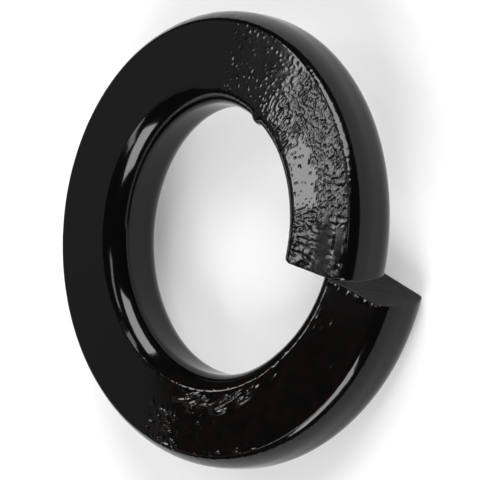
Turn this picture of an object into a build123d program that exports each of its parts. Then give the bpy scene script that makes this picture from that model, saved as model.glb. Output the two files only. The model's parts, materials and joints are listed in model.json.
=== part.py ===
from build123d import *
import os
from math import pi, tan, radians

# Spring lock washer with plain ends: one coil of rolled spring-steel wire for an 8 mm screw.
#
# Frame: +Z is the bore's axis, the origin is on it at half the free height, and the split faces +X.
# The coil is left-handed: seen from above, it sinks all the way round anticlockwise from its upper end.

# The ring
bore_diameter = 8.5
outside_diameter = 14.4
rise = 1.9  # how far the coil climbs in one whole turn
bore_radius = bore_diameter / 2
outside_radius = outside_diameter / 2
mean_radius = (bore_radius + outside_radius) / 2

# The wire's section: two nearly flat faces, thicker towards the bore, and two rounded sides.
# Each side leaves its wall in an arc and meets the face in a fine crease. A corner is given by
# how far its crease stands in from the wall, and how far below the face its arc begins.
thickness = 1.9
inner_thickening = 0.16  # added at the bore, and taken off at the outside
top_outer_corner = (0.31, 0.74)
bottom_outer_corner = (0.25, 0.61)
top_inner_corner = (0.45, 0.50)
bottom_inner_corner = (0.30, 0.69)
bore_allowance = 0.03  # left on the wire's inner side, and taken off by the bore

# The ends, cut by a slanting shear that leaves a tooth on top of one end and under the other
gap = 0.9  # between the ends at the mean radius
cut_slant = 13.5  # degrees off the bore's axis
upper_end_skew = 4.4  # degrees off the radius
lower_end_skew = 10.0
overrun = 10.0  # degrees that each half turn runs on past the middle of the split, to be cut off
shear_block = (5.0, 5.0, 3.0)  # clears a whole end and its overrun


def face_height(radius):
    """Half the wire's thickness at this radius."""
    width = outside_radius - bore_radius
    return thickness / 2 + inner_thickening * (mean_radius - radius) / width


def crease_and_spring(wall_radius, inward, side, corner):
    """The crease on a face, and the point on the wall where the corner's arc springs from."""
    setback, depth = corner
    crease_radius = wall_radius + inward * setback
    crease_height = face_height(crease_radius)
    return (crease_radius, side * crease_height), (wall_radius, side * (crease_height - depth))


# One wire section, swept up a little more than half a turn of a left-hand coil
half_sweep = 180 + overrun
inner_wall = bore_radius - bore_allowance
with BuildPart() as half_coil:
    with BuildLine() as coil_line:
        Helix(pitch=rise, height=rise * half_sweep / 360, radius=mean_radius, lefthand=True)
    with BuildSketch(Plane.XZ) as wire_section:
        with BuildLine():
            crease_1, spring_1 = crease_and_spring(outside_radius, -1, 1, top_outer_corner)
            crease_2, spring_2 = crease_and_spring(outside_radius, -1, -1, bottom_outer_corner)
            crease_3, spring_3 = crease_and_spring(inner_wall, 1, -1, bottom_inner_corner)
            crease_4, spring_4 = crease_and_spring(inner_wall, 1, 1, top_inner_corner)
            Line(crease_4, crease_1)
            TangentArc(spring_1, crease_1, tangent=(0, 1))
            Line(spring_1, spring_2)
            TangentArc(spring_2, crease_2, tangent=(0, -1))
            Line(crease_2, crease_3)
            TangentArc(spring_3, crease_3, tangent=(0, -1))
            Line(spring_3, spring_4)
            TangentArc(spring_4, crease_4, tangent=(0, 1))
        make_face()
    sweep(path=coil_line.line, is_frenet=True)


def shear_plane(offset, skew):
    """An end's cut, through the mean radius, facing anticlockwise."""
    leaning = (tan(radians(skew)), 1, tan(radians(cut_slant)))
    return Plane(origin=(mean_radius, offset, 0), z_dir=leaning)


# The lower half turn starts past the split and climbs clockwise to the far side of the ring,
# and the upper half goes on from there. Both run past the split, where the shear takes them off.
with BuildPart() as lower_half:
    with Locations(Location((0, 0, -rise * half_sweep / 360), (0, 0, overrun))):
        add(half_coil.part)
    with Locations(shear_plane(-gap / 2, lower_end_skew)):
        Box(*shear_block, align=(Align.CENTER, Align.CENTER, Align.MIN), mode=Mode.SUBTRACT)

with BuildPart() as upper_half:
    with Locations(Location((0, 0, 0), (0, 0, 180))):
        add(half_coil.part)
    with Locations(shear_plane(gap / 2, upper_end_skew)):
        Box(*shear_block, align=(Align.CENTER, Align.CENTER, Align.MAX), mode=Mode.SUBTRACT)

with BuildPart() as lock_washer:
    add(lower_half.part)
    add(upper_half.part)
    Hole(radius=bore_radius)

lock_washer.part.label = "lock_washer"

wire_area = wire_section.sketch.area
coil_length = 2 * pi * mean_radius - gap
print(f"Wire section {wire_area:.3f} mm2, about {wire_area * coil_length:.1f} mm3 of wire")
print(f"Washer volume {lock_washer.part.volume:.1f} mm3")
print(f"Free height {lock_washer.part.bounding_box().size.Z:.2f} mm")

os.makedirs("parts", exist_ok=True)
export_step(lock_washer.part, "parts/lock_washer.step")
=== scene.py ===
# %% [markdown]
# # A spring lock washer, black and glossy
#
# A lock washer is one turn of thick spring wire, rolled flat on two sides and cut off with a
# slanting shear, so that its two ends stand apart like the teeth of a ratchet. This lesson builds
# one in Blender around its CAD model. The CAD model gives the true size and is hidden at the end,
# because its faces are perfectly smooth, and nearly everything that the eye sees on a black glossy
# thing is how its small dents and creases bend the light.

# %% Load the frame
import math

import bpy
import numpy as np
from mathutils import Matrix, Vector, noise
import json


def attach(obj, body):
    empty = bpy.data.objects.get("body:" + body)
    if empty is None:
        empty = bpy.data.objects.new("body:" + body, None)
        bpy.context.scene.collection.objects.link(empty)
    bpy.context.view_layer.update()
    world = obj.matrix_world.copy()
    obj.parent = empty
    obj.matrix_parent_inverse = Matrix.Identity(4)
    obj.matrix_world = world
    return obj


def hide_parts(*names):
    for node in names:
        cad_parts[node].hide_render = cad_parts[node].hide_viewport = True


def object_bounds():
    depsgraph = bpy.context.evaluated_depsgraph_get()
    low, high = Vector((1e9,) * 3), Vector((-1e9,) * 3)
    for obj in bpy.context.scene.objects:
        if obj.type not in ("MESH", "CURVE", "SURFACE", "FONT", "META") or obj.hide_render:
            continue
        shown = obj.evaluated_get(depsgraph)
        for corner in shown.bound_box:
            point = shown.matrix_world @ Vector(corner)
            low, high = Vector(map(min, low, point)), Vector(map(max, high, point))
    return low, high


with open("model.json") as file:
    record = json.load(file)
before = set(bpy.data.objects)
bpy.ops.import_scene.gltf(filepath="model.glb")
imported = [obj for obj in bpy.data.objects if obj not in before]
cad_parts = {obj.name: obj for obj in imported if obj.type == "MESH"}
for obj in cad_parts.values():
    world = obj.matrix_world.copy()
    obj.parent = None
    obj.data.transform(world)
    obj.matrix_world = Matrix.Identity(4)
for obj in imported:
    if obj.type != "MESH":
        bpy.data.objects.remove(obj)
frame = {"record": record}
cad_low, cad_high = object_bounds()
print("CAD box, mm:", [round(1000 * c, 3) for c in (*cad_low, *cad_high)])

# %% [markdown]
# ## Driving sizes
#
# Blender works in metres and a washer is made in millimetres, so the sizes are kept in
# millimetres, and the mesh is scaled once, at the end. The two diameters come from the frame, so
# they can't drift from the CAD model. The section's sizes repeat those of the CAD source.

# %% Driving sizes, in millimetres
MM = 0.001
BORE = frame["record"]["mounts"][0]["dims"]["r_mm"]
OUTSIDE = (cad_high.x - cad_low.x) / 2 / MM
MEAN = (BORE + OUTSIDE) / 2
RISE = 1.9  # how far the coil climbs in one whole turn
THICKNESS = 1.9
INNER_THICKENING = 0.16  # added at the bore, and taken off at the outside
BORE_ALLOWANCE = 0.03  # left on the wire's inner side, and taken off by the bore
TOP_OUTER = (0.31, 0.74)  # each corner: how far the crease stands in, how deep the arc goes
BOTTOM_OUTER = (0.25, 0.61)
TOP_INNER = (0.45, 0.50)
TOP_INNER_OPEN = (0.57, 0.82)  # the same corner on the far side from the split
BOTTOM_INNER = (0.30, 0.69)
GAP = 0.9
CUT_SLANT = math.tan(math.radians(13.5))
UPPER_SKEW = math.tan(math.radians(4.4))
LOWER_SKEW = math.tan(math.radians(10.0))
print(f"bore radius {BORE} mm, outside radius {OUTSIDE:.3f} mm, wire {OUTSIDE - BORE:.3f} mm wide")


def direction(azimuth, elevation):
    """A unit vector; azimuth turns anticlockwise from +X, and both are in degrees."""
    turn, lift = math.radians(azimuth), math.radians(elevation)
    flat = math.cos(lift)
    return Vector((math.cos(turn) * flat, math.sin(turn) * flat, math.sin(lift)))


# %% [markdown]
# ## The camera
#
# The washer lies flat and the camera looks down on it from above the split, halfway between level
# and straight down, with a long lens that keeps the ring from tapering. The camera is then rolled
# most of a quarter turn, which makes the lying ring look as if it stood on its edge.

# %% The camera
CAMERA_AZIMUTH = 7.05
CAMERA_ELEVATION = 44.62
CAMERA_ROLL = math.radians(83.786)
CAMERA_DISTANCE = 129.6 * MM
AIM_SIDEWAYS = 0.361 * MM  # the ring sits a little left of the middle
back = direction(CAMERA_AZIMUTH, CAMERA_ELEVATION)
level_right = direction(CAMERA_AZIMUTH + 90, 0)
level_up = back.cross(level_right)
right = math.cos(CAMERA_ROLL) * level_right - math.sin(CAMERA_ROLL) * level_up
up = math.cos(CAMERA_ROLL) * level_up + math.sin(CAMERA_ROLL) * level_right
camera = bpy.data.objects.new("camera", bpy.data.cameras.new("camera"))
bpy.context.scene.collection.objects.link(camera)
bpy.context.scene.camera = camera
camera.rotation_mode = "QUATERNION"
camera.rotation_quaternion = Matrix((right, up, back)).transposed().to_quaternion()
camera.location = CAMERA_DISTANCE * back + AIM_SIDEWAYS * right
camera.data.sensor_width = 36
camera.data.lens = 308
camera.data.clip_start = 0.01
print("camera at, mm:", [round(c / MM, 1) for c in camera.location])

# %% [markdown]
# ## The floor
#
# The floor is a plain white disc that curls up into a low rim, so that a level view of the washer
# still has something pale behind it. The rim is kept low: a black glossy thing shows everything
# around it, and it needs dark surroundings to look black.

# %% The floor
FLOOR_RADIUS = 1.0
RIM_HEIGHT = 0.09
COVE = 0.05
FLOOR_SIDES = 96
FLOOR_EVENNESS = 0.3


def floor_outline(steps=8):
    """Radius and height of the floor, from its middle to the top of its rim."""
    points = [(0.0, 0.0)]
    for step in range(steps + 1):
        turn = step / steps * math.pi / 2
        points.append((FLOOR_RADIUS - COVE + COVE * math.sin(turn), COVE * (1 - math.cos(turn))))
    points.append((FLOOR_RADIUS, RIM_HEIGHT))
    return points


def white_floor():
    """Plain white, and evenly white to the eye, with the washer's own shadow kept."""
    material = bpy.data.materials.new("white_floor")
    material.use_nodes = True
    tree = material.node_tree
    shader = tree.nodes["Principled BSDF"]
    shader.inputs["Base Color"].default_value = (0.76, 0.76, 0.76, 1)
    shader.inputs["Roughness"].default_value = 1.0
    shader.inputs["Specular IOR Level"].default_value = 0.0
    white = tree.nodes.new("ShaderNodeEmission")
    path = tree.nodes.new("ShaderNodeLightPath")
    seen = path.outputs["Is Camera Ray"]
    for ray in ("Is Glossy Ray", "Is Transmission Ray"):
        added = tree.nodes.new("ShaderNodeMath")
        added.operation = "MAXIMUM"
        tree.links.new(seen, added.inputs[0])
        tree.links.new(path.outputs[ray], added.inputs[1])
        seen = added.outputs[0]
    share = tree.nodes.new("ShaderNodeMath")
    share.operation = "MULTIPLY"
    share.inputs[1].default_value = FLOOR_EVENNESS
    tree.links.new(seen, share.inputs[0])
    mix = tree.nodes.new("ShaderNodeMixShader")
    tree.links.new(share.outputs[0], mix.inputs["Fac"])
    tree.links.new(shader.outputs["BSDF"], mix.inputs[1])
    tree.links.new(white.outputs["Emission"], mix.inputs[2])
    tree.links.new(mix.outputs["Shader"], tree.nodes["Material Output"].inputs["Surface"])
    return material


outline = floor_outline()
verts = [(0, 0, cad_low.z)]
for radius, height in outline[1:]:
    for side in range(FLOOR_SIDES):
        turn = 2 * math.pi * side / FLOOR_SIDES
        verts.append((radius * math.cos(turn), radius * math.sin(turn), cad_low.z + height))
faces = [(0, 1 + side, 1 + (side + 1) % FLOOR_SIDES) for side in range(FLOOR_SIDES)]
for ring in range(len(outline) - 2):
    first = 1 + ring * FLOOR_SIDES
    for side in range(FLOOR_SIDES):
        after = (side + 1) % FLOOR_SIDES
        faces.append((first + side, first + FLOOR_SIDES + side, first + FLOOR_SIDES + after, first + after))
floor_mesh = bpy.data.meshes.new("floor")
floor_mesh.from_pydata(verts, [], faces)
floor_mesh.shade_smooth()
floor_mesh.materials.append(white_floor())
floor = bpy.data.objects.new("floor", floor_mesh)
bpy.context.scene.collection.objects.link(floor)
print(f"floor disc {2 * FLOOR_RADIUS} m across at height {cad_low.z / MM:.2f} mm")

# %% [markdown]
# ## The lights
#
# A black glossy thing has almost no colour of its own: what it shows is a faint mirror image of
# the lights, about one twenty-fifth as bright. So each softbox is placed where its image falls on
# the washer. Two stand left and right of the camera and draw the bright lines along the rounded
# sides. A third stands behind, with its edge just where the flat face reflects it, so that half of
# the face is bright and half stays dark. A dim card beside it lifts the dark half off pure black.

# %% The lights
LIGHT_DISTANCE = 1.3
AREA_LIGHT_FACTOR = 4  # watts for each square metre and unit of brightness
softboxes = {}


def softbox(name, azimuths, elevations, brightness, distance=LIGHT_DISTANCE):
    """A rectangular light that covers this span of directions, in degrees, seen from the washer."""
    azimuth, elevation = sum(azimuths) / 2, sum(elevations) / 2
    across = (azimuths[1] - azimuths[0]) * math.cos(math.radians(elevation))
    light = bpy.data.lights.new(name, "AREA")
    light.shape = "RECTANGLE"
    light.size = 2 * distance * math.tan(math.radians(across) / 2)
    light.size_y = 2 * distance * math.tan(math.radians(elevations[1] - elevations[0]) / 2)
    light.energy = AREA_LIGHT_FACTOR * brightness * light.size * light.size_y
    lamp = bpy.data.objects.new(name, light)
    bpy.context.scene.collection.objects.link(lamp)
    toward = direction(azimuth, elevation)
    lamp.location = distance * toward
    lamp.rotation_mode = "QUATERNION"
    lamp.rotation_quaternion = (-toward).to_track_quat("-Z", "Y")
    lamp.visible_camera = False
    softboxes[name] = lamp
    print(f"{name}: {light.size:.2f} by {light.size_y:.2f} m, {light.energy:.1f} W")
    return lamp


BRIGHT = 9.0
softbox("right_softbox", (54, 104), (21, 48), BRIGHT)
softbox("left_softbox", (-88, -42), (21, 47), BRIGHT)
softbox("rear_softbox", (158, 181.5), (43.9, 51.4), 1.0 * BRIGHT)
softbox("right_strip", (100, 180), (63, 67), 0.5 * BRIGHT)
softbox("left_strip", (-148, -80), (54, 60), 0.5 * BRIGHT)
softbox("crown", (20, 85), (64, 70), 0.5 * BRIGHT)
softbox("dim_card", (176, 226), (20, 46.5), 0.024 * BRIGHT, 1.5)
world = bpy.data.worlds.new("studio")
bpy.context.scene.world = world
world.use_nodes = True
world.node_tree.nodes["Background"].inputs["Color"].default_value = (0.03, 0.03, 0.03, 1)
bpy.context.scene.view_settings.view_transform = "Standard"

# %% [markdown]
# ## The wire's section
#
# The section is two nearly flat faces joined by two rounded sides. It is drawn as a fine outline,
# then averaged along its own length, which wears every crease down to the small radius that rolled
# wire really has. Points are then picked along it, close together on the upper face, where the
# surface is going to be rough, and wide apart underneath.

# %% The wire's section


def face_height(radius):
    """Half the wire's thickness at this radius."""
    return THICKNESS / 2 + INNER_THICKENING * (MEAN - radius) / (OUTSIDE - BORE)


def corner_arc(wall, inward, side, corner, steps=60):
    """Points from where the arc leaves the wall to the crease where it meets the face."""
    setback, depth = corner
    radius = (setback**2 + depth**2) / (2 * setback)
    turn = math.atan2(depth, radius - setback)
    crease_height = face_height(wall + inward * setback)
    points = []
    for step in range(steps + 1):
        angle = turn * step / steps
        height = crease_height - depth + radius * math.sin(angle)
        points.append((wall + inward * radius * (1 - math.cos(angle)), side * height))
    return points


def fine_outline(top_inner):
    """The whole section as many points, starting at the upper face's inner crease."""
    inner = BORE - BORE_ALLOWANCE
    inner_arc = corner_arc(inner, 1, 1, top_inner)
    outer_arc = corner_arc(OUTSIDE, -1, 1, TOP_OUTER)[::-1]
    lower_arc = corner_arc(OUTSIDE, -1, -1, BOTTOM_OUTER)
    bore_arc = corner_arc(inner, 1, -1, BOTTOM_INNER)[::-1]
    parts = [
        straight(inner_arc[-1], outer_arc[0], FACE_POINTS),
        outer_arc[:-1],
        straight(outer_arc[-1], lower_arc[0], 90),
        lower_arc[:-1],
        straight(lower_arc[-1], bore_arc[0], 400),
        bore_arc[:-1],
        straight(bore_arc[-1], inner_arc[0], 150),
        inner_arc[:-1],
    ]
    return np.array([point for part in parts for point in part])


def straight(start, end, count):
    """Evenly spaced points from start up to, and not including, end."""
    shares = np.arange(count)[:, None] / count
    return (np.array(start) + shares * (np.array(end) - np.array(start))).tolist()


def soften(points, width):
    """Averages a closed outline over its neighbours, which rounds its creases."""
    reach = 3 * width
    weight = np.exp(-0.5 * (np.arange(-reach, reach + 1) / width) ** 2)
    weight /= weight.sum()
    wrapped = np.vstack([points[-reach:], points, points[:reach]])
    return np.column_stack([np.convolve(wrapped[:, k], weight, "valid") for k in (0, 1)])


def outline_and_normals(top_inner):
    """A softened outline, kept out of the bore, and its outward normals."""
    points = soften(fine_outline(top_inner), CREASE_WEAR)
    points[:, 0] = np.maximum(points[:, 0], BORE)
    step = np.roll(points, -1, axis=0) - np.roll(points, 1, axis=0)
    step /= np.linalg.norm(step, axis=1)[:, None]
    return points, np.column_stack([-step[:, 1], step[:, 0]])


FACE_POINTS = 550
CREASE_WEAR = 8  # in outline points, which are about 0.004 mm apart
tight, tight_normals = outline_and_normals(TOP_INNER)
open_, open_normals = outline_and_normals(TOP_INNER_OPEN)
flat_width = tight[FACE_POINTS, 0] - tight[0, 0]


def pick_points():
    """Which outline points become the section's mesh points."""
    along = np.concatenate([[0], np.cumsum(np.linalg.norm(np.diff(tight, axis=0), axis=1))])
    total = along[-1]
    places = [0.0]
    while True:
        here = places[-1]
        spacing = 0.135
        if here < flat_width:
            spacing = 0.035
        elif here < flat_width + 0.9 or here > total - 0.7:
            spacing = 0.05
        if min(abs(here - crease) for crease in (0, flat_width, total)) < 0.09:
            spacing = 0.018
        if here + 1.5 * spacing > total:
            return np.unique(np.searchsorted(along, places))
        places.append(here + spacing)


picked = pick_points()
print(f"section of {len(picked)} points, upper face {flat_width:.2f} mm wide")

# %% [markdown]
# ## The coil's stations
#
# The section is carried along the coil at stations. They stand close together where the face is
# rough and further apart elsewhere. Both ends are cut by planes that slant, so each point of the
# section meets its plane at its own angle, found by halving an interval until it is small.

# %% The coil's stations


def coil_height(angle):
    """Height of the wire's centre; the coil sinks as the angle grows."""
    return RISE * (0.5 - angle / (2 * math.pi))


def cut_distance(angle, offset, skew):
    """How far the section's points stand past the cutting plane, at this angle."""
    x = tight[picked, 0] * np.cos(angle)
    y = tight[picked, 0] * np.sin(angle)
    z = coil_height(angle) + tight[picked, 1]
    return (x - MEAN) * skew + (y - offset) + z * CUT_SLANT


def cut_angles(low, high, offset, skew):
    """The angle at which each point of the section meets the plane."""
    low = np.full(len(picked), math.radians(low))
    high = np.full(len(picked), math.radians(high))
    for _ in range(40):
        middle = (low + high) / 2
        before = cut_distance(middle, offset, skew) < 0
        low = np.where(before, middle, low)
        high = np.where(before, high, middle)
    return (low + high) / 2


upper_cut = cut_angles(-30, 40, GAP / 2, UPPER_SKEW)
lower_cut = cut_angles(320, 400, -GAP / 2, LOWER_SKEW)
print("upper end from", np.degrees(upper_cut).round(1).min(), "to", np.degrees(upper_cut).round(1).max())


def station_shares():
    """Places of the stations along the coil, from 0 at the upper end to 1 at the lower one."""
    shares = [0.0]
    for until, step in ((120, 0.33), (246, 2.0), (320, 0.42), (360, 0.9)):
        start = shares[-1] * 360
        count = round((until - start) / step)
        shares += [(start + (until - start) * k / count) / 360 for k in range(1, count + 1)]
    return np.array(shares)


EDGE_RADIUS = 0.035  # how far the ends' edges are worn
EDGE_STEPS = 4
shares = station_shares()
tight_r, tight_z = tight[picked].T
rolled = np.exp(-(((tight_r - 7.0) / 0.35) ** 2)) * np.clip(tight_normals[picked, 1] + 0.2, 0, 1)
upper_edge = EDGE_RADIUS + 0.17 * rolled + 0.09 * np.exp(-(((tight_r - 4.35) / 0.25) ** 2))
lower_edge = np.full(len(picked), EDGE_RADIUS)
quarter = np.arange(EDGE_STEPS) / EDGE_STEPS * math.pi / 2
first = upper_cut + upper_edge / tight_r
last = lower_cut - lower_edge / tight_r
angles = np.vstack([
    upper_cut + (1 - np.cos(quarter))[:, None] * upper_edge / tight_r,
    first + shares[:, None] * (last - first),
    lower_cut - (1 - np.cos(quarter[::-1]))[:, None] * lower_edge / tight_r,
])
inset = np.zeros_like(angles)
inset[:EDGE_STEPS] = (1 - np.sin(quarter))[:, None] * upper_edge
inset[-EDGE_STEPS:] = (1 - np.sin(quarter[::-1]))[:, None] * lower_edge
print(f"{angles.shape[0]} stations of {angles.shape[1]} points")

# %% [markdown]
# ## The rolled surface
#
# Hot-rolled wire isn't smooth. Near the split the scale has been pressed into the upper face, and
# it has left short wrinkles, pits and small bumps. They are made as one height over the face, from
# Blender's own noise, with a weight for each kind that says where on the ring it lies.

# %% The rolled surface


def ramp(value, low, high):
    """0 below low, 1 above high, and smooth between them."""
    share = np.clip((value - low) / (high - low), 0, 1)
    return share * share * (3 - 2 * share)


def band(value, low, high, soft):
    """1 between low and high, fading to 0 over soft outside them."""
    return ramp(value, low - soft, low) * (1 - ramp(value, high, high + soft))


def grain(across, along, layer, octaves=1):
    """Noise over the unrolled face; across and along are arrays in units of one feature."""
    flat = np.empty(across.size)
    for k, (a, b) in enumerate(zip(across.ravel(), along.ravel())):
        flat[k] = noise.fractal((a, b, layer), 1.0, 2.0, octaves) if octaves > 1 else noise.noise((a, b, layer))
    return flat.reshape(across.shape)


degrees = np.degrees(angles)
opened = band(degrees, 115, 270, 55)
section_r, section_z, normal_r, normal_z = (
    (1 - opened) * a[picked] + opened * b[picked]
    for a, b in zip((*tight.T, *tight_normals.T), (*open_.T, *open_normals.T))
)
radii = section_r
arc_length = angles * MEAN
from_inner = (section_r - section_r[:, :1]) / flat_width
on_top = ramp(normal_z, 0.5, 0.97)

ragged = from_inner + 0.16 * grain(arc_length * 3.0, radii * 3.0, 17.0)
smooth_patch = band(degrees, 22, 42, 4) * (1 - ramp(ragged, 0.36, 0.5))
wrinkled = band(degrees, 18, 58, 4) * (1 - smooth_patch)
end_zone = 1 - ramp(degrees, 14, 20)
blotch = np.exp(-(((from_inner - 0.2) / 0.2) ** 2)) * np.exp(-(((degrees - 19) / 2.0) ** 2))
warp = 0.08 * grain(arc_length * 1.9, radii * 1.9, 11.0)
lean = 0.2 * ramp(degrees, 26, 46) * (1 - ramp(from_inner, 0.3, 0.9))
leaning = arc_length - lean * radii + warp

# Short dark wrinkles, thickest near the split
stretch = 3.6 + 4.4 * ramp(from_inner, 0.4, 0.7)
fine = grain(leaning * 9.0, radii * stretch + warp * 4, 3.0)
breaks = grain(leaning * 4.0, radii * 5.0, 8.0)
wrinkles = np.exp(-((fine / 0.17) ** 2)) * ramp(breaks, 0.0, 0.2)
dashes = grain(arc_length * 9.5 + warp * 5, radii * (3.5 + 2.5 * ramp(from_inner, 0.4, 0.7)) + warp * 8, 14.0)
wrinkles = np.maximum(wrinkles, ramp(dashes, 0.14, 0.36))
pits = ramp(grain(arc_length * 11.0, radii * 11.0, 21.0), 0.38, 0.6)
height = -(0.011 + 0.006 * blotch) * wrinkled * wrinkles - 0.008 * pits * band(degrees, 17, 58, 6)

# Small bumps that thin out round the ring, and stray ones on the lower half
crowding = -1.0 + 2.0 * band(degrees, 54, 64, 6) + 1.35 * band(degrees, 70, 88, 7)
crowding += 0.75 * band(degrees, 92, 112, 12)
crowding = np.where(degrees > 180, -1.0, np.minimum(crowding, 1.0))
crowding += 1.35 * band(degrees, 256, 266, 3) * band(from_inner, 0.45, 0.95, 0.08)
crowding += 1.3 * band(degrees, 266, 300, 6) * ramp(from_inner, 0.78, 0.9)
crowding += 0.62 * band(degrees, 262, 345, 5) * (1 - ramp(from_inner, 0.74, 0.86))
bumps = ramp(grain(leaning * 9.0, radii * 9.0, 31.0) + 0.3 * crowding, 0.33, 0.65)
height += (0.0042 + 0.012 * band(degrees, 254, 300, 4) + 0.004 * band(degrees, 306, 350, 4)) * bumps

# Streaks beside the bore at the bottom, and along the upper end
slant = radii * 8.0 + 2.4 * arc_length
streaks = np.maximum(grain(arc_length * 1.6 + warp * 5, slant, 51.0), -0.06)
height += 0.05 * streaks * band(degrees, 268, 300, 5) * band(from_inner, 0.12, 0.3, 0.09)
height += 0.02 * streaks * band(degrees, 300, 314, 3) * band(from_inner, 0.05, 0.16, 0.05)
lines = grain(arc_length * 8.0 + radii * 3.6, radii * 2.4 - arc_length * 2.4 + warp * 6, 57.0, 2)
outer_patch = band(from_inner, 0.78, 1.0, 0.07) * band(degrees, 6, 13, 3)
height += 0.015 * end_zone * (1 - outer_patch) * lines + 0.02 * end_zone * np.exp(-(((from_inner - 0.56) / 0.08) ** 2))
height *= on_top

# Chips along the low end's edge, and a burr on the bore's edge
near_end = ramp(angles, last - 0.026, last - 0.008)
height += 0.012 * near_end * ramp(grain(arc_length * 3.0, radii * 6.0, 71.0), 0.12, 0.35) * on_top
burr = np.exp(-(((degrees - 69) / 2.6) ** 2)) * ramp(-normal_r, 0.3, 0.8) * ramp(section_z, 0.2, 0.5)
height += 0.09 * burr

# The creases beside both roundings wander a little
near_crease = np.exp(-((from_inner / 0.06) ** 2)) + np.exp(-(((from_inner - 1) / 0.06) ** 2))
height += 0.004 * near_crease * grain(arc_length * 4.0, radii * 2.0, 77.0, 2)

# Long swells over the whole surface
swells = grain(arc_length * 0.55, radii * 0.55, 41.0)
height += (0.005 + 0.008 * end_zone) * swells
print(f"surface height from {height.min():.3f} to {height.max():.3f} mm")

# %% [markdown]
# ## The washer
#
# Every station's points are now turned round the axis, lifted to the coil's height and pushed in
# or out along the section's own normal. Two caps of shrinking rings close the cut ends.

# %% The washer
moved = height - inset
ring_r = np.maximum(section_r + moved * normal_r, BORE - 0.09 * burr)
ring_r = np.minimum(ring_r, OUTSIDE)
x = ring_r * np.cos(angles)
y = ring_r * np.sin(angles)
z = coil_height(angles) + section_z + moved * normal_z
grid = np.stack([x, y, z], axis=-1)
stations, around = angles.shape
points = [grid.reshape(-1, 3)]
quads = []
index = np.arange(stations * around).reshape(stations, around)
after = np.roll(index, -1, axis=1)
side_faces = np.stack([index[:-1], after[:-1], after[1:], index[1:]], axis=-1).reshape(-1, 4)
CAP_RINGS = (0.97, 0.92, 0.85, 0.75, 0.63, 0.5, 0.36, 0.22, 0.1)
cap_faces = []
total = stations * around


def close_end(rim, rim_index, normal, flip):
    """Rings that shrink from the rim to a middle point, roughened by the shear."""
    global total
    middle = rim.mean(axis=0)
    before_index = rim_index
    for share in CAP_RINGS:
        ring = middle + (rim - middle) * share
        radius = np.hypot(ring[:, 0], ring[:, 1])
        streaks = grain(radius * 7.0, ring[:, 2] * 0.9, 61.0) + 0.5 * grain(radius * 17.0, ring[:, 2] * 2.2, 67.0)
        ring = ring + (0.010 * streaks * min(1, (1 - share) / 0.12))[:, None] * normal
        ring_index = total + np.arange(around)
        total += around
        points.append(ring)
        cap = [before_index, np.roll(before_index, -1), np.roll(ring_index, -1), ring_index]
        cap_faces.extend(np.stack(cap[::-1] if flip else cap, axis=-1).tolist())
        before_index = ring_index
    points.append(middle[None, :])
    for k in range(around):
        fan = [before_index[k], before_index[(k + 1) % around], total]
        cap_faces.append(fan[::-1] if flip else fan)
    total += 1


upper_normal = np.array([UPPER_SKEW, 1, CUT_SLANT])
upper_normal = -upper_normal / np.linalg.norm(upper_normal)
lower_normal = np.array([LOWER_SKEW, 1, CUT_SLANT])
lower_normal = lower_normal / np.linalg.norm(lower_normal)
close_end(grid[0], index[0], upper_normal, True)
close_end(grid[-1], index[-1], lower_normal, False)
all_points = np.vstack(points) * MM
washer_mesh = bpy.data.meshes.new("spring_washer")
washer_mesh.from_pydata(all_points.tolist(), [], side_faces.tolist() + cap_faces)
washer_mesh.validate()
washer_mesh.shade_smooth()
print(f"washer mesh of {len(all_points)} points and {sum(len(p.vertices) - 2 for p in washer_mesh.polygons)} triangles")


def attribute(name, values, cap_value):
    """Keeps a weight on the mesh's points for its materials to read."""
    flat = np.full(len(all_points), cap_value, np.float32)
    flat[: stations * around] = values.ravel()
    washer_mesh.attributes.new(name, "FLOAT", "POINT").data.foreach_set("value", flat)


fine_zone = wrinkled * (0.2 + 0.8 * ramp(from_inner, 0.35, 0.6)) + 0.35 * end_zone * (1 - outer_patch)
attribute("roughened", np.clip(fine_zone * on_top, 0, 1), 1.0)
smudge = np.exp(-(((from_inner - 0.6) / 0.14) ** 2)) * (1 - ramp(degrees, 10, 17))
attribute("dulled", np.clip(0.12 * end_zone + smudge + 0.3 * blotch - outer_patch, 0, 1) * on_top, 0.0)
attribute("browned", band(degrees, 262, 352, 14) * on_top, 0.0)

# %% [markdown]
# ## The black finish
#
# Black oxide is a thin skin grown on the steel and sealed with oil. It has next to no colour, and
# its gloss is that of the oil. The steel's fine grain shows through as a slight bump.

# %% The black finish


def finish(name, colour, roughness, specular):
    """A principled material and its node tree, with its plain values set."""
    material = bpy.data.materials.new(name)
    material.use_nodes = True
    shader = material.node_tree.nodes["Principled BSDF"]
    shader.inputs["Base Color"].default_value = (*colour, 1)
    shader.inputs["Roughness"].default_value = roughness
    shader.inputs["Specular IOR Level"].default_value = specular
    return material, material.node_tree, shader


def object_noise(tree, scale, detail=2.0, roughness=0.5):
    """Noise in the object's own space; scale is in features for each metre."""
    place = tree.nodes.new("ShaderNodeTexCoord")
    texture = tree.nodes.new("ShaderNodeTexNoise")
    texture.inputs["Scale"].default_value = scale
    texture.inputs["Detail"].default_value = detail
    texture.inputs["Roughness"].default_value = roughness
    tree.links.new(place.outputs["Object"], texture.inputs["Vector"])
    return texture.outputs["Fac"]


def spread(tree, value, low, high):
    """Maps a value from 0..1 to low..high."""
    node = tree.nodes.new("ShaderNodeMapRange")
    node.inputs["To Min"].default_value = low
    node.inputs["To Max"].default_value = high
    tree.links.new(value, node.inputs["Value"])
    return node.outputs["Result"]


def bump(tree, shader, height_output, distance, strength=1.0):
    """Bends the shader's normal by a height."""
    node = tree.nodes.new("ShaderNodeBump")
    node.inputs["Distance"].default_value = distance
    node.inputs["Strength"].default_value = strength
    tree.links.new(height_output, node.inputs["Height"])
    tree.links.new(node.outputs["Normal"], shader.inputs["Normal"])
    return node


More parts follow.
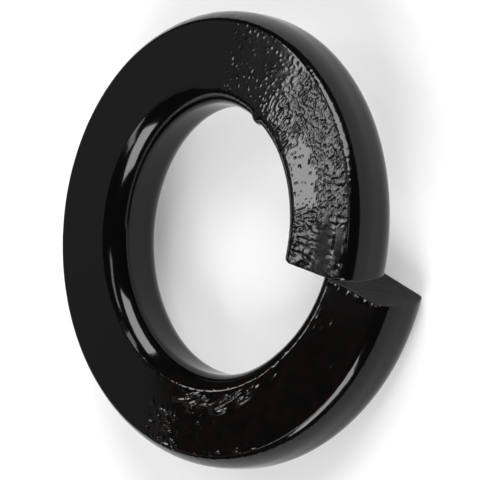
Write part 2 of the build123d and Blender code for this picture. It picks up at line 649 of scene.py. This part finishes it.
def weight(tree, name):
    """Reads one of the mesh's own weights."""
    node = tree.nodes.new("ShaderNodeAttribute")
    node.attribute_name = name
    return node.outputs["Fac"]


def combine(tree, operation, first, second):
    """One arithmetic step on two values; a plain number is set on the socket."""
    node = tree.nodes.new("ShaderNodeMath")
    node.operation = operation
    for socket, value in zip(node.inputs, (first, second)):
        if isinstance(value, float):
            socket.default_value = value
        else:
            tree.links.new(value, socket)
    return node.outputs[0]


def tint(tree, share, plain, changed):
    """A colour that goes from plain to changed as share goes from 0 to 1."""
    node = tree.nodes.new("ShaderNodeMix")
    node.data_type = "RGBA"
    node.inputs["A"].default_value = (*plain, 1)
    node.inputs["B"].default_value = (*changed, 1)
    tree.links.new(share, node.inputs["Factor"])
    return node.outputs["Result"]


black, tree, shader = finish("black_oxide", (0.0013, 0.0012, 0.0012), 0.1, 0.27)
roughened = weight(tree, "roughened")
mottle = spread(tree, object_noise(tree, 2600.0, 3.0), -1.1, 2.0)
browned = combine(tree, "MULTIPLY", weight(tree, "browned"), mottle)
colour = tint(tree, browned, (0.0013, 0.0012, 0.0012), (0.0034, 0.0017, 0.0012))
tree.links.new(colour, shader.inputs["Base Color"])
evenness = spread(tree, object_noise(tree, 900.0), 0.06, 0.13)
roughness = combine(tree, "ADD", evenness, combine(tree, "MULTIPLY", roughened, 0.05))
dulled = combine(tree, "MULTIPLY", weight(tree, "dulled"), spread(tree, object_noise(tree, 4200.0, 3.0), -0.25, 1.1))
roughness = combine(tree, "ADD", roughness, combine(tree, "MULTIPLY", combine(tree, "MAXIMUM", dulled, 0.0), 0.75))
tree.links.new(roughness, shader.inputs["Roughness"])
fine_grain = object_noise(tree, 15000.0, 2.0)
amount = combine(tree, "ADD", combine(tree, "MULTIPLY", roughened, 1.0), 0.12)
bump(tree, shader, combine(tree, "MULTIPLY", fine_grain, amount), 0.000004)
sheared, tree, shader = finish("sheared_end", (0.0055, 0.0040, 0.0037), 0.45, 0.1)
bump(tree, shader, object_noise(tree, 6000.0, 3.0), 0.00001)
washer_mesh.materials.append(black)
washer_mesh.materials.append(sheared)
material_index = np.zeros(len(washer_mesh.polygons), np.int32)
material_index[len(side_faces):] = 1
washer_mesh.polygons.foreach_set("material_index", material_index)

washer = bpy.data.objects.new("spring_washer", washer_mesh)
bpy.context.scene.collection.objects.link(washer)
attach(washer, "root")
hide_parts("lock_washer")

# %% Size and end
import json
